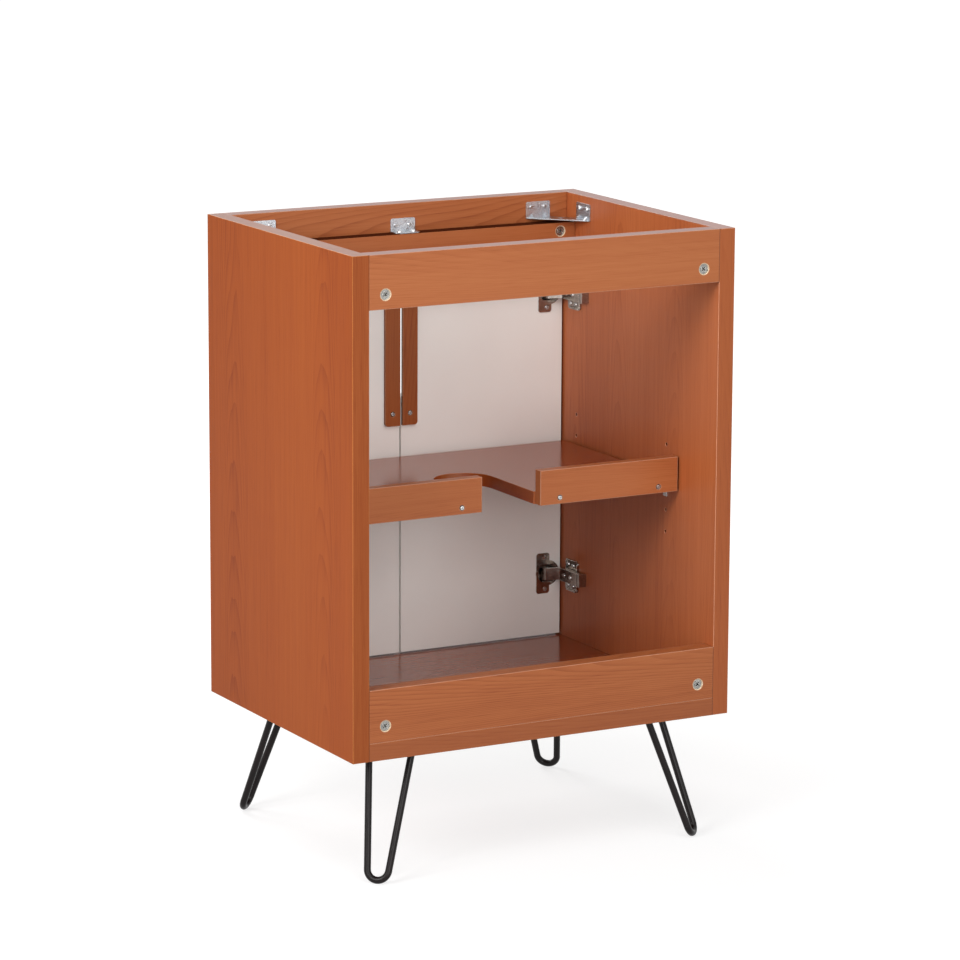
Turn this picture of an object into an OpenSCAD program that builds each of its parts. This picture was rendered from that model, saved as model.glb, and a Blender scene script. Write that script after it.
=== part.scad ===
// Bathroom vanity base unit: open-backed carcass on hairpin legs, two inset doors and a notched shelf.
// Millimetres. Origin on the floor under the middle of the carcass, +Z up, doors towards -Y, open back
// towards +Y. "Right" is +X, the side seen on the right from in front of the doors.

/* [Carcass] */
// Overall width of the carcass
cabinet_w = 600; // [520:1:760]
// Overall depth of the carcass
cabinet_d = 455; // [430:1:520]
// Height of the carcass without its legs
carcass_h = 700; // [660:1:760]
// Thickness of the carcass boards
board_t = 25; // [24.5:0.5:28]
// Height of the two back rails
rail_h = 75; // [60:1:90]

/* [Front boards] */
// Height of the front fascia above the doors
fascia_h = 50; // [47:1:60]
// Height of the stretcher behind the fascia
stretcher_h = 75; // [60:1:85]
// How far the stretcher's top stands above the fascia's lower edge
stretcher_lap = 8.5; // [4:0.5:12]

/* [Doors] */
// Thickness of the doors
door_t = 18; // [16:0.5:18.5]
// Gap round and between the doors
door_gap = 3; // [2.5:0.1:4]
// Gap under the doors
door_foot_gap = 3; // [2:0.1:5]
// Height of the finger notch's lower end above the bottom of the carcass
notch_z = 414; // [400:1:440]
// Length of the finger notch
notch_l = 160; // [120:1:170]
// Depth of the finger notch into the door's edge
notch_depth = 16; // [10:0.5:18]
// Corner radius of the finger notch
notch_r = 12; // [4:0.5:14]
// Width of the strip behind the notch
strip_w = 24.5; // [22:0.5:30]
// Thickness of the strip behind the notch
strip_t = 5; // [3:0.5:6]
// Overhang of the strip past each end of the notch
strip_lap = 43; // [30:1:46]
// Gap between the two strips
strip_gap = 4; // [3:0.5:6]

/* [Shelf] */
// Thickness of the shelf
shelf_t = 18; // [16:0.5:22]
// Height of the shelf's underside above the bottom of the carcass
shelf_z = 308.5; // [300:0.5:315]
// Gap between each end of the shelf and the side panel
shelf_side_gap = 3; // [1:0.5:4]
// Distance from the shelf's front edge to the inside of the doors
shelf_front_gap = 11.5; // [8:0.5:20]
// Depth of the shelf board without its lips
shelf_d = 311; // [290:1:330]
// Width of the plumbing cut-out in the shelf
cutout_w = 89; // [70:1:120]
// Length of the plumbing cut-out from the shelf's rear edge
cutout_l = 166.5; // [120:0.5:190]
// Height of the lips along the shelf's rear edge
lip_h = 50; // [35:1:70]
// Thickness of the lips
lip_t = 15; // [12:0.5:18]
// Distance the lips stand back from the cut-out
lip_setback = 2.5; // [0:0.5:10]
// Spacing of the shelf support holes
pin_pitch = 32; // [25:1:40]
// Number of support holes in each column
pin_levels = 5; // [3:2:7]
// Diameter of the shelf support holes
pin_hole_d = 5; // [4:0.5:6]
// Depth of the shelf support holes
pin_hole_l = 12; // [8:0.5:14]

/* [Legs] */
// Height of the legs
leg_h = 180; // [150:1:220]
// Diameter of the leg rod
rod_d = 10; // [8:0.5:12]
// Spread between the rods at the top of a leg
leg_top_spread = 63; // [50:1:66]
// Centreline radius of the bend at the foot of a leg
foot_bend_r = 15.5; // [12:0.5:18]
// How far a leg leans out from its top to its foot
leg_lean = 63; // [40:1:64]
// Inset of the leg's top from the side of the carcass
leg_inset_x = 89.5; // [88:0.5:110]
// Inset of the leg's top from the back or front of the carcass
leg_inset_y = 60.5; // [60:0.5:90]
// Side of the leg's square mounting plate
leg_plate_w = 84; // [80:1:90]
// Thickness of the leg's mounting plate
leg_plate_t = 4; // [3:0.5:5]

/* [Hinges] */
// Distance from a door's end to the middle of its nearest hinge
hinge_end = 95; // [85:1:120]
// Diameter of the hinge cup
cup_d = 35; // [34:0.5:36]
// Depth of the hinge cup
cup_depth = 13.5; // [13.4:0.1:14]
// Distance from the side panel to the middle of the cup
cup_u = 25; // [24.8:0.1:25.4]
// Distance from the side panel to the hinge pin
pin_u = 16; // [15.8:0.1:16.3]
// Depth of the hinge pin below the door's inner face
pin_w = 10.3; // [10.2:0.1:10.4]
// Diameter of the hinge pin
hinge_pin_d = 2.6; // [2.2:0.1:2.8]
// Thickness of the arm's cranked strip
arm_t = 3; // [2.4:0.1:3]
// Length of the arm behind the door's inner face
arm_reach = 66; // [62:1:80]

/* [Brackets and fasteners] */
// Thickness of the bracket steel
bracket_t = 1.5; // [1.2:0.1:2.5]
// Width of the bracket tabs
tab_w = 40; // [34:1:44]
// Height of the corner bracket tabs
tab_h = 25; // [22:1:30]
// Distance from the corner to the near edge of a corner bracket's tab
tab_offset = 30; // [26:1:36]
// Distance from the top of the carcass to the corner bracket's plate
bracket_drop = 36; // [34:1:40]
// Diameter of the worktop fixing hole in a corner bracket
worktop_hole_d = 7; // [5:0.5:9]
// Height of the centre angle bracket's tab
angle_h = 20; // [18:1:26]
// Depth of the centre angle bracket's foot
angle_foot = 22; // [18:1:22]
// Diameter of the cam locks
cam_d = 15; // [12:0.5:16]
// Distance from a board's end to the middle of its cam lock
cam_inset = 25; // [22:1:34]
// Diameter of the cam bolts
bolt_d = 6; // [5:0.5:7]
// Diameter of the dowels
dowel_d = 8; // [6:0.5:10]
// Length of the dowels
dowel_l = 30; // [24:1:40]
// Shank diameter of the wood screws
screw_d = 3.5; // [3:0.1:4]
// Head diameter of the wood screws
screw_head_d = 7.5; // [6:0.1:8]

/* [Hidden] */

$fn = 48;
eps = 0.01;
past = 1;
fit = 0.1;
clear = 0.6;

// Colours
cherry = "#b5623a";
door_white = "#ece8e2";
zinc = "#b9bcc0";
nickel = "#7d746c";
black_steel = "#1d1d1f";
beech = "#c9a675";

// Planes of the carcass
outer_x = cabinet_w / 2;
inner_x = outer_x - board_t;
front_y = -cabinet_d / 2;
back_y = cabinet_d / 2;
base_z = leg_h;
floor_z = base_z + board_t;
top_z = base_z + carcass_h;
fascia_z = top_z - fascia_h;
fascia_in_y = front_y + board_t;
stretcher_top_z = fascia_z + stretcher_lap;
stretcher_in_y = fascia_in_y + board_t;
rail_in_y = back_y - board_t;

// Planes of the doors
door_in_y = front_y + door_t;
door_x0 = door_gap / 2;
door_x1 = inner_x - door_gap;
door_z0 = floor_z + door_foot_gap;
door_z1 = fascia_z - door_gap;
notch_z0 = base_z + notch_z;
strip_z0 = notch_z0 - strip_lap;
strip_l = notch_l + 2 * strip_lap;
strip_x0 = strip_gap / 2;
strip_screw_end = 18;
strip_corner_r = 5;

// Planes of the shelf
shelf_z0 = base_z + shelf_z;
shelf_x = inner_x - shelf_side_gap;
shelf_y0 = door_in_y + shelf_front_gap;
shelf_y1 = shelf_y0 + shelf_d;
lip_x0 = cutout_w / 2 + lip_setback;
lip_screw_inset = 31.5;
lip_sink = 1.6;
strip_sink = 1.4;
pin_front_inset = 29;
pin_rear_inset = 22;
pin_front_y = shelf_y0 + pin_front_inset;
pin_rear_y = shelf_y1 - pin_rear_inset;
pin_z0 = shelf_z0 - pin_hole_d / 2 - pin_pitch * (pin_levels - 1) / 2;
support_w = 10;
support_reach = 14;
support_t = 1.5;
support_drop = 14;

// Knock-down fittings: a bolt or dowel runs along X from a side panel into a board's end
cam_body_l = 14.7;
cam_sink = 1.5;
cam_mouth = 1;
cam_pocket_l = cam_sink + cam_body_l + 3 * fit;
cam_recess_w = 1.8;
cam_recess_l = 6.8;
cam_groove = 0.8;
cam_turn = 40;
bolt_in_panel = 12;
bolt_bore_d = bolt_d + 2;
dowel_in_panel = 12;
mid_t = board_t / 2;
rail_cam_z = 20;
bottom_rail_cam_z = 23;
fascia_dowel_edge = 13;
rail_dowel_z = 56;
stretcher_cam_drop = 12.5;
stretcher_dowel_drop = 52;
base_cam_y = 150;
base_dowel_y = 190;

// Each joint is [y, z, turn], with turn taking the cam's face from +Y to where it is reached
rail_y = back_y - mid_t;
top_rail_z = top_z - rail_h;
bottom_cams = [[-base_cam_y, base_z + mid_t, -90], [base_cam_y, base_z + mid_t, -90]];
top_rail_cams = [[rail_y, top_rail_z + rail_cam_z, 0]];
bottom_rail_cams = [[rail_y, floor_z + bottom_rail_cam_z, 0]];
stretcher_cams = [[stretcher_in_y - mid_t, stretcher_top_z - stretcher_cam_drop, 0]];
all_cams = concat(bottom_cams, top_rail_cams, bottom_rail_cams, stretcher_cams);
bottom_dowels = [[-base_dowel_y, base_z + mid_t], [0, base_z + mid_t], [base_dowel_y, base_z + mid_t]];
top_rail_dowels = [[rail_y, top_rail_z + rail_dowel_z]];
bottom_rail_dowels = [[rail_y, floor_z + rail_dowel_z]];
stretcher_dowels = [[stretcher_in_y - mid_t, stretcher_top_z - stretcher_dowel_drop]];
fascia_dowel_levels = [fascia_z + fascia_dowel_edge, top_z - fascia_dowel_edge];
fascia_dowels = [for (z = fascia_dowel_levels) [front_y + mid_t, z]];
all_dowels = concat(bottom_dowels, top_rail_dowels, bottom_rail_dowels, stretcher_dowels, fascia_dowels);

// Brackets
bracket_z = top_z - bracket_drop;
tab_screw_rise = 17;
tab_screw_step = 11;
screw_l = 14;
screw_head_l = 2.2;
recess_w = 1;
recess_depth = 1.2;
pull_screw_l = 12;
hinge_screw_l = 11;
hinge_head_d = 7;
hinge_head_l = 1.4;
plate_head_l = 1.8;
arm_head_d = 6.4;
arm_head_l = 1.6;
tab_screw_y = [tab_offset + tab_w / 2 - tab_screw_step, tab_offset + tab_w / 2 + tab_screw_step];
foot_screw_y = fascia_in_y + angle_foot / 2 + 1;
worktop_hole_at = (tab_offset + tab_w / 2) / 2;

// Hinges, in a local frame: x from the side panel inwards, y from the door's inner face inwards
cup_wall = 0.8;
flange_t = 1.4;
rim_d = cup_d + 4;
mouth_z = 13;
mouth_reach = 15.5;
wing_u0 = 22;
wing_w = 22;
wing_h = 62;
wing_r = 4;
cup_screw_u = 29.5;
cup_screw_z = 24;
cheek_z = 6.2;
cheek_t = 4.5;
cheek_r = 2.2;
pin_l = 2 * (cheek_z + cheek_t);
eye_r = 2.1;
tongue_w = 11;
tongue_t = arm_t - 0.2;
eye_fit = 0.1;
pin_fit = 0.06;
arm_w = 19;
arm_widens = 0.35;
neck = [[13.6, 3.2], [18, 9.8]];
crank = [[31, 7.6], [11, 13.2]];
arm_top_u = 11;
arm_sheet = 2;
arm_flange_t = 1.5;
arm_flange_w0 = 18;
arm_hole_d = 5;
arm_slot = 4;
plate_t = 2;
plate_w0 = 16;
plate_w1 = 52;
plate_h = 48;
plate_screw_w = [24, 39];
plate_screw_z = 16;
plate_r = 5;
plate_lip_w = 3;
plate_lip_h = 1.6;
block_z = 13;
block_u = arm_top_u - arm_sheet / 2 - 0.3;
block_w0 = crank[1][1] + arm_t;
arm_screw_w = [29, 47];
arm_screw_d = 3;
stop_gap = 1.3;
stop_l = 6.7;
arm_screw_l = 5.5;
stop_w0 = arm_reach + stop_gap;
hinge_levels = [door_z1 - hinge_end, door_z0 + hinge_end];

// Legs
leg_slope_l = sqrt(pow(leg_h - rod_d / 2, 2) + leg_lean * leg_lean);
leg_tilt = atan2(leg_lean, leg_h - rod_d / 2);
foot_c = leg_slope_l - foot_bend_r;
half_top = leg_top_spread / 2;
rod_span = sqrt(foot_c * foot_c + half_top * half_top);
rod_l = sqrt(rod_span * rod_span - foot_bend_r * foot_bend_r);
rod_angle = atan2(half_top, foot_c) - asin(foot_bend_r / rod_span);
weld = 0.2;
weld_step = 0.1;
leg_plate_r = 8;
leg_screw_edge = 11;
leg_screw_at = leg_plate_w / 2 - leg_screw_edge;
leg_top_x = outer_x - leg_inset_x;
leg_top_y = back_y - leg_inset_y;

// Draws its children as they are for the right side, or mirrored for the left
module on_side(side) {
    if (side > 0) children();
    else mirror([1, 0, 0]) children();
}

// Draws its children as they are for the back, or mirrored for the front
module on_end(end) {
    if (end > 0) children();
    else mirror([0, 1, 0]) children();
}

// A box between two corners
module block(low, high) {
    translate(low) cube(high - low);
}

// A rounded rectangle from one corner
module rounded_rect(size, r) {
    union() {
        translate([r, 0]) square([size[0] - 2 * r, size[1]]);
        translate([0, r]) square([size[0], size[1] - 2 * r]);
        for (x = [r, size[0] - r], y = [r, size[1] - r]) translate([x, y]) circle(r);
    }
}

// The points h to the left of a path in the plane, mitred at its bends
function left_of(d) = [-d[1], d[0]] / norm(d);
function side_points(path, h) = [for (i = [0 : len(path) - 1])
    let (
        before = max(i, 1),
        after = min(i, len(path) - 2),
        a = left_of(path[before] - path[before - 1]),
        b = left_of(path[after + 1] - path[after])
    )
    path[i] + (a + b) * h / (1 + a * b)];

// A strip of thickness t bent along a path in the plane
module bent_strip(path, t) {
    left = side_points(path, t / 2);
    right = side_points(path, -t / 2);
    polygon(concat(left, [for (i = [len(path) - 1 : -1 : 0]) right[i]]));
}

// A wood screw with its head's underside at the origin and its shank along -Z
module wood_screw(l = screw_l, d = screw_d, head_d = screw_head_d, head_l = screw_head_l) {
    recess = head_d * 0.26;
    difference() {
        union() {
            translate([0, 0, -l]) cylinder(d = d, h = l + eps);
            cylinder(d1 = head_d, d2 = head_d * 0.72, h = head_l);
        }
        for (a = [0, 90]) rotate(a) block([-recess, -recess_w / 2, head_l - recess_depth],
            [recess, recess_w / 2, head_l + past]);
    }
}

// The pilot hole for a wood screw, from its head's underside along -Z
module pilot(l = screw_l) {
    translate([0, 0, -l - 0.5]) cylinder(d = screw_d + fit, h = l + 0.5 + past);
}

// Holes that a board's right end needs for its cam locks, bolts and dowels
module end_bores(cams, dowels) {
    for (c = cams) translate([0, c[0], c[1]]) {
        translate([inner_x - cam_inset, 0, 0]) rotate([0, 90, 0])
            cylinder(d = bolt_bore_d, h = cam_inset + past);
        translate([inner_x - cam_inset, 0, 0]) rotate([c[2], 0, 0]) rotate([-90, 0, 0]) {
            translate([0, 0, mid_t - cam_pocket_l]) cylinder(d = cam_d, h = cam_pocket_l + past);
            translate([0, 0, mid_t - cam_mouth])
                cylinder(d1 = cam_d, d2 = cam_d + 2 * (cam_mouth + past), h = cam_mouth + past);
        }
    }
    for (p = dowels) translate([inner_x - dowel_l + dowel_in_panel - fit, p[0], p[1]]) rotate([0, 90, 0])
        cylinder(d = dowel_d + fit, h = dowel_l);
}

// A board between the side panels, bored alike at both ends
module cross_board(low_y, high_y, low_z, high_z, cams, dowels) {
    difference() {
        block([-inner_x, low_y, low_z], [inner_x, high_y, high_z]);
        for (side = [-1, 1]) on_side(side) end_bores(cams, dowels);
        children();
    }
}

// Places of the screws in the right side panel, as [y, z]
corner_tab_screws = [for (end = [-1, 1], y = tab_screw_y)
    [end * (end < 0 ? -fascia_in_y - y : rail_in_y - y), bracket_z + tab_screw_rise]];
hinge_plate_screws_at = [for (z = hinge_levels, s = [-1, 1], w = plate_screw_w)
    [door_in_y + w, z + s * plate_screw_z]];

// The right side panel with its blind holes on the inner face
module side_panel() {
    color(cherry) difference() {
        block([inner_x, front_y, base_z], [outer_x, back_y, top_z]);
        for (y = [pin_front_y, pin_rear_y], i = [0 : pin_levels - 1])
            translate([inner_x - past, y, pin_z0 + i * pin_pitch]) rotate([0, 90, 0])
                cylinder(d = pin_hole_d, h = pin_hole_l + past);
        for (c = all_cams) translate([inner_x - past, c[0], c[1]]) rotate([0, 90, 0])
            cylinder(d = bolt_d + fit, h = bolt_in_panel + fit + past);
        for (p = all_dowels) translate([inner_x - past, p[0], p[1]]) rotate([0, 90, 0])
            cylinder(d = dowel_d + fit, h = dowel_in_panel + fit + past);
        for (p = concat(corner_tab_screws, hinge_plate_screws_at))
            translate([inner_x, p[0], p[1]]) rotate([0, -90, 0]) pilot();
    }
}

module bottom_panel() {
    color(cherry) cross_board(front_y, back_y, base_z, floor_z, bottom_cams, bottom_dowels)
        for (side = [-1, 1], end = [-1, 1]) on_side(side) on_end(end) leg_screw_places()
            rotate([180, 0, 0]) pilot();
}

module back_top_rail() {
    color(cherry) cross_board(rail_in_y, back_y, top_rail_z, top_z, top_rail_cams, top_rail_dowels)
        for (side = [-1, 1]) on_side(side) rear_bracket_frame() tab_screw_places_y() pilot();
}

module back_bottom_rail() {
    color(cherry) cross_board(rail_in_y, back_y, floor_z, floor_z + rail_h,
        bottom_rail_cams, bottom_rail_dowels);
}

module front_fascia() {
    color(cherry) cross_board(front_y, fascia_in_y, fascia_z, top_z, [], fascia_dowels) {
        for (side = [-1, 1]) on_side(side) front_bracket_frame() tab_screw_places_y() pilot();
        for (side = [-1, 1]) translate([side * tab_screw_step, fascia_in_y, stretcher_top_z + angle_h / 2])
            rotate([-90, 0, 0]) pilot();
    }
}

module front_stretcher() {
    color(cherry) cross_board(fascia_in_y, stretcher_in_y, stretcher_top_z - stretcher_h, stretcher_top_z,
        stretcher_cams, stretcher_dowels)
        for (side = [-1, 1]) translate([side * tab_screw_step, foot_screw_y, stretcher_top_z]) pilot();
}

// A cam lock with its face just below the board's and its bolt entering along +X
module cam_lock() {
    face = mid_t - cam_sink;
    translate([inner_x - cam_inset, 0, 0]) difference() {
        rotate([-90, 0, 0]) translate([0, 0, face - cam_body_l])
            cylinder(d = cam_d - 2 * fit, h = cam_body_l);
        translate([-bolt_d / 2 - 1, 0, 0]) rotate([0, 90, 0]) cylinder(d = bolt_d + 2 * clear, h = cam_d);
        rotate([-90, 0, 0]) translate([0, 0, face - cam_groove]) difference() {
            cylinder(d = cam_d * 0.78, h = cam_groove + past);
            translate([0, 0, -past]) cylinder(d = cam_d * 0.56, h = cam_groove + 3 * past);
        }
        for (a = [0, 90]) rotate([0, a + cam_turn, 0]) block([-cam_recess_l / 2, face - 3, -cam_recess_w / 2],
            [cam_recess_l / 2, face + past, cam_recess_w / 2]);
    }
}

module cam_locks() {
    color(zinc) for (side = [-1, 1]) on_side(side) for (c = all_cams)
        translate([0, c[0], c[1]]) rotate([c[2], 0, 0]) cam_lock();
}

// A cam bolt: a threaded end in the side panel, a collar and a waisted head in the cam
module cam_bolts() {
    head_l = 3;
    waist_l = 3;
    tip_x = inner_x - cam_inset - bolt_d / 2;
    collar_x = tip_x + head_l + waist_l;
    color(zinc) for (side = [-1, 1]) on_side(side) for (c = all_cams) translate([0, c[0], c[1]])
        rotate([0, 90, 0]) {
            translate([0, 0, tip_x]) cylinder(d = bolt_d, h = head_l);
            translate([0, 0, tip_x + head_l - eps]) cylinder(d = bolt_d * 0.6, h = waist_l + 2 * eps);
            translate([0, 0, collar_x]) cylinder(d = bolt_d, h = inner_x + bolt_in_panel - collar_x);
        }
}

module dowels() {
    bevel = 1;
    color(beech) for (side = [-1, 1]) on_side(side) for (p = all_dowels)
        translate([inner_x - dowel_l + dowel_in_panel, p[0], p[1]]) rotate([0, 90, 0]) {
            cylinder(d1 = dowel_d - 2 * bevel, d2 = dowel_d, h = bevel);
            translate([0, 0, bevel]) cylinder(d = dowel_d, h = dowel_l - 2 * bevel);
            translate([0, 0, dowel_l - bevel]) cylinder(d1 = dowel_d, d2 = dowel_d - 2 * bevel, h = bevel);
        }
}

// Frames at the inside corners of the right side: x and y run from the corner into the carcass
module front_bracket_frame() {
    translate([inner_x, fascia_in_y, bracket_z]) mirror([1, 0, 0]) children();
}

module rear_bracket_frame() {
    translate([inner_x, rail_in_y, bracket_z]) mirror([1, 0, 0]) mirror([0, 1, 0]) children();
}

// Screws through the tab that lies on the plane y = 0, heads towards +y
module tab_screw_places_y() {
    for (x = tab_screw_y) translate([x, bracket_t, tab_screw_rise]) rotate([-90, 0, 0]) children();
}

// Screws through the tab that lies on the plane x = 0, heads towards +x
module tab_screw_places_x() {
    for (y = tab_screw_y) translate([bracket_t, y, tab_screw_rise]) rotate([0, 90, 0]) children();
}

// One upright tab on the plane y = 0, with rounded upper corners and two pressed ribs at its fold
module bracket_tab() {
    r = 3;
    rib_w = 3;
    rib_l = 5;
    difference() {
        union() {
            translate([tab_offset, bracket_t, 0]) rotate([90, 0, 0]) linear_extrude(bracket_t)
                union() {
                    square([tab_w, tab_h - r]);
                    translate([r, 0]) square([tab_w - 2 * r, tab_h]);
                    for (x = [r, tab_w - r]) translate([x, tab_h - r]) circle(r);
                }
            for (x = tab_screw_y) translate([x + rib_w / 2, bracket_t - eps, bracket_t - eps])
                rotate([0, -90, 0]) linear_extrude(rib_w) polygon([[0, 0], [rib_l, 0], [0, rib_l]]);
        }
        for (x = tab_screw_y) translate([x, -past, tab_screw_rise]) rotate([-90, 0, 0])
            cylinder(d = screw_d + clear, h = bracket_t + 2 * past);
    }
}

// A corner bracket: a plate across the corner with a tab turned up along each board
module corner_bracket() {
    far = tab_offset + tab_w;
    color(zinc) difference() {
        union() {
            linear_extrude(bracket_t)
                polygon([[tab_offset, 0], [far, 0], [0, far], [0, tab_offset]]);
            bracket_tab();
            mirror([1, -1, 0]) bracket_tab();
        }
        translate([worktop_hole_at, worktop_hole_at, -past])
            cylinder(d = worktop_hole_d, h = bracket_t + 2 * past);
    }
}

// The angle bracket that ties the fascia to the stretcher
module centre_angle_bracket() {
    r = 3.5;
    cut = 5;
    y0 = fascia_in_y;
    z0 = stretcher_top_z;
    color(zinc) difference() {
        union() {
            translate([-tab_w / 2, y0 + bracket_t, z0]) rotate([90, 0, 0]) linear_extrude(bracket_t)
                union() {
                    square([tab_w, angle_h - r]);
                    translate([r, 0]) square([tab_w - 2 * r, angle_h]);
                    for (x = [r, tab_w - r]) translate([x, angle_h - r]) circle(r);
                }
            translate([0, y0, z0]) linear_extrude(bracket_t) polygon([
                [-tab_w / 2, 0], [tab_w / 2, 0],
                [tab_w / 2, angle_foot - cut], [tab_w / 2 - cut, angle_foot],
                [cut - tab_w / 2, angle_foot], [-tab_w / 2, angle_foot - cut]]);
        }
        for (side = [-1, 1]) {
            translate([side * tab_screw_step, y0 - past, z0 + angle_h / 2]) rotate([-90, 0, 0])
                cylinder(d = screw_d + clear, h = bracket_t + 2 * past);
            translate([side * tab_screw_step, foot_screw_y, z0 - past])
                cylinder(d = screw_d + clear, h = bracket_t + 2 * past);
        }
    }
}

module bracket_screws() {
    color(zinc) {
        for (side = [-1, 1]) on_side(side) {
            front_bracket_frame() {
                tab_screw_places_x() wood_screw();
                tab_screw_places_y() wood_screw();
            }
            rear_bracket_frame() {
                tab_screw_places_x() wood_screw();
                tab_screw_places_y() wood_screw();
            }
            translate([tab_screw_step, fascia_in_y + bracket_t, stretcher_top_z + angle_h / 2])
                rotate([-90, 0, 0]) wood_screw();
            translate([tab_screw_step, foot_screw_y, stretcher_top_z + bracket_t]) wood_screw();
        }
    }
}

// Places of the lip screws on the right half, from the lip's outer face
module lip_screw_places() {
    for (x = [lip_x0 + lip_screw_inset, shelf_x - lip_screw_inset])
        translate([x, shelf_y1 + lip_t, shelf_z0 + shelf_t / 2]) rotate([-90, 0, 0]) children();
}

module shelf_board() {
    r = cutout_w / 2;
    arc_y = shelf_y1 - cutout_l + r;
    color(cherry) difference() {
        block([-shelf_x, shelf_y0, shelf_z0], [shelf_x, shelf_y1, shelf_z0 + shelf_t]);
        translate([0, arc_y, shelf_z0 - past]) cylinder(r = r, h = shelf_t + 2 * past, $fn = 96);
        block([-r, arc_y, shelf_z0 - past], [r, shelf_y1 + past, shelf_z0 + shelf_t + past]);
        for (side = [-1, 1]) on_side(side) lip_screw_places()
            translate([0, 0, -lip_t - screw_l]) cylinder(d = screw_d + fit, h = screw_l + past);
    }
}

// The right half's lip along the shelf's rear edge
module shelf_lip() {
    color(cherry) difference() {
        block([lip_x0, shelf_y1, shelf_z0], [shelf_x, shelf_y1 + lip_t, shelf_z0 + lip_h]);
        lip_screw_places() {
            translate([0, 0, -lip_t - past]) cylinder(d = screw_d + fit, h = lip_t + 2 * past);
            translate([0, 0, -lip_sink]) cylinder(d = screw_head_d + 4 * fit, h = lip_sink + past);
        }
    }
}

module shelf_lip_screws() {
    color(zinc) for (side = [-1, 1]) on_side(side) lip_screw_places()
        translate([0, 0, -lip_sink]) wood_screw(l = lip_t + screw_l - screw_head_l);
}

// An L-shaped steel support: a pin in the panel, a leg down its face and a ledge under the shelf
module shelf_support() {
    r = pin_hole_d / 2;
    translate([-eps, 0, -r]) rotate([0, 90, 0]) cylinder(d = pin_hole_d - fit, h = pin_hole_l - past);
    block([-support_t, -support_w / 2, -support_drop], [0, support_w / 2, 0]);
    block([-support_reach, -support_w / 2, -support_t], [0, support_w / 2, 0]);
}

module shelf_supports() {
    color(zinc) for (side = [-1, 1]) on_side(side) for (y = [pin_front_y, pin_rear_y])
        translate([inner_x, y, shelf_z0]) shelf_support();
}

// The right door with its finger notch, cup bores and pilot holes
module door() {
    color(door_white) difference() {
        block([door_x0, front_y, door_z0], [door_x1, door_in_y, door_z1]);
        translate([door_x0, door_in_y + past, notch_z0]) rotate([90, 0, 0]) linear_extrude(door_t + 2 * past)
            translate([-notch_depth, 0]) rounded_rect([2 * notch_depth, notch_l], notch_r);
        for (z = hinge_levels) hinge_frame(z) {
            translate([cup_u, -cup_depth - 2 * fit, 0]) rotate([-90, 0, 0])
                cylinder(d = cup_d + 2 * fit, h = cup_depth + 2 * fit + past);
            cup_screw_places() pilot();
        }
        pull_screw_places() pilot();
    }
}

// Places of the strip screws on the right door, from the strip's inner face
module pull_screw_places() {
    for (z = [strip_z0 + strip_screw_end, strip_z0 + strip_l - strip_screw_end])
        translate([strip_x0 + strip_w / 2, door_in_y + strip_t, z]) rotate([-90, 0, 0]) children();
}

// The strip that backs the right door's notch, with its outer corners rounded
module pull_strip() {
    r = strip_corner_r;
    color(cherry) difference() {
        translate([strip_x0, door_in_y + strip_t, strip_z0]) rotate([90, 0, 0])
            linear_extrude(strip_t) union() {
                square([strip_w - r, strip_l]);
                translate([0, r]) square([strip_w, strip_l - 2 * r]);
                for (z = [r, strip_l - r]) translate([strip_w - r, z]) circle(r);
            }
        pull_screw_places() {
            translate([0, 0, -strip_t - past]) cylinder(d = screw_d + fit, h = strip_t + 2 * past);
            translate([0, 0, -strip_sink]) cylinder(d = screw_head_d + 4 * fit, h = strip_sink + past);
        }
    }
}

module pull_screws() {
    color(zinc) pull_screw_places() translate([0, 0, -strip_sink]) wood_screw(l = pull_screw_l);
}

// The frame of a hinge on the right side: x from the panel inwards, y from the door's inner face
module hinge_frame(z) {
    translate([inner_x, door_in_y, z]) mirror([1, 0, 0]) children();
}

module cup_screw_places() {
    for (s = [-1, 1]) translate([cup_screw_u, flange_t, s * cup_screw_z]) rotate([-90, 0, 0]) children();
}

// A stamped hinge cup: a flange with two wings and a flattened mouth, a round shell below it, and
// two cheeks that carry the pin
module hinge_cup() {
    inner_r = cup_d / 2 - cup_wall;
    floor_w = -cup_depth + cup_wall;
    color(nickel) difference() {
        union() {
            difference() {
                union() {
                    translate([cup_u, -cup_depth, 0]) rotate([-90, 0, 0])
                        cylinder(d = cup_d, h = cup_depth + eps, $fn = 72);
                    rotate([-90, 0, 0]) linear_extrude(flange_t) union() {
                        translate([cup_u, 0]) circle(d = rim_d, $fn = 72);
                        translate([wing_u0, -wing_h / 2]) rounded_rect([wing_w, wing_h], wing_r);
                    }
                }
                translate([cup_u, floor_w, 0]) rotate([-90, 0, 0])
                    cylinder(r = inner_r, h = -floor_w, $fn = 72);
                translate([0, -past, 0]) rotate([-90, 0, 0]) linear_extrude(flange_t + 2 * past)
                    intersection() {
                        translate([cup_u, 0]) circle(inner_r, $fn = 72);
                        translate([cup_u - inner_r - past, -mouth_z])
                            square([inner_r + past + mouth_reach, 2 * mouth_z]);
                    }
                cup_screw_places() translate([0, 0, -flange_t - past])
                    cylinder(d = screw_d + clear, h = flange_t + 2 * past);
            }
            for (s = [-1, 1]) translate([pin_u, 0, s * (cheek_z + cheek_t / 2)]) {
                block([-cheek_r, floor_w - eps, -cheek_t / 2], [cheek_r, -pin_w, cheek_t / 2]);
                translate([0, -pin_w, -cheek_t / 2]) cylinder(r = cheek_r, h = cheek_t);
            }
        }
        translate([pin_u, -pin_w, -pin_l]) cylinder(d = hinge_pin_d + pin_fit, h = 2 * pin_l);
    }
}

module hinge_pin() {
    color(nickel) translate([pin_u, -pin_w, -pin_l / 2]) cylinder(d = hinge_pin_d, h = pin_l);
}

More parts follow.
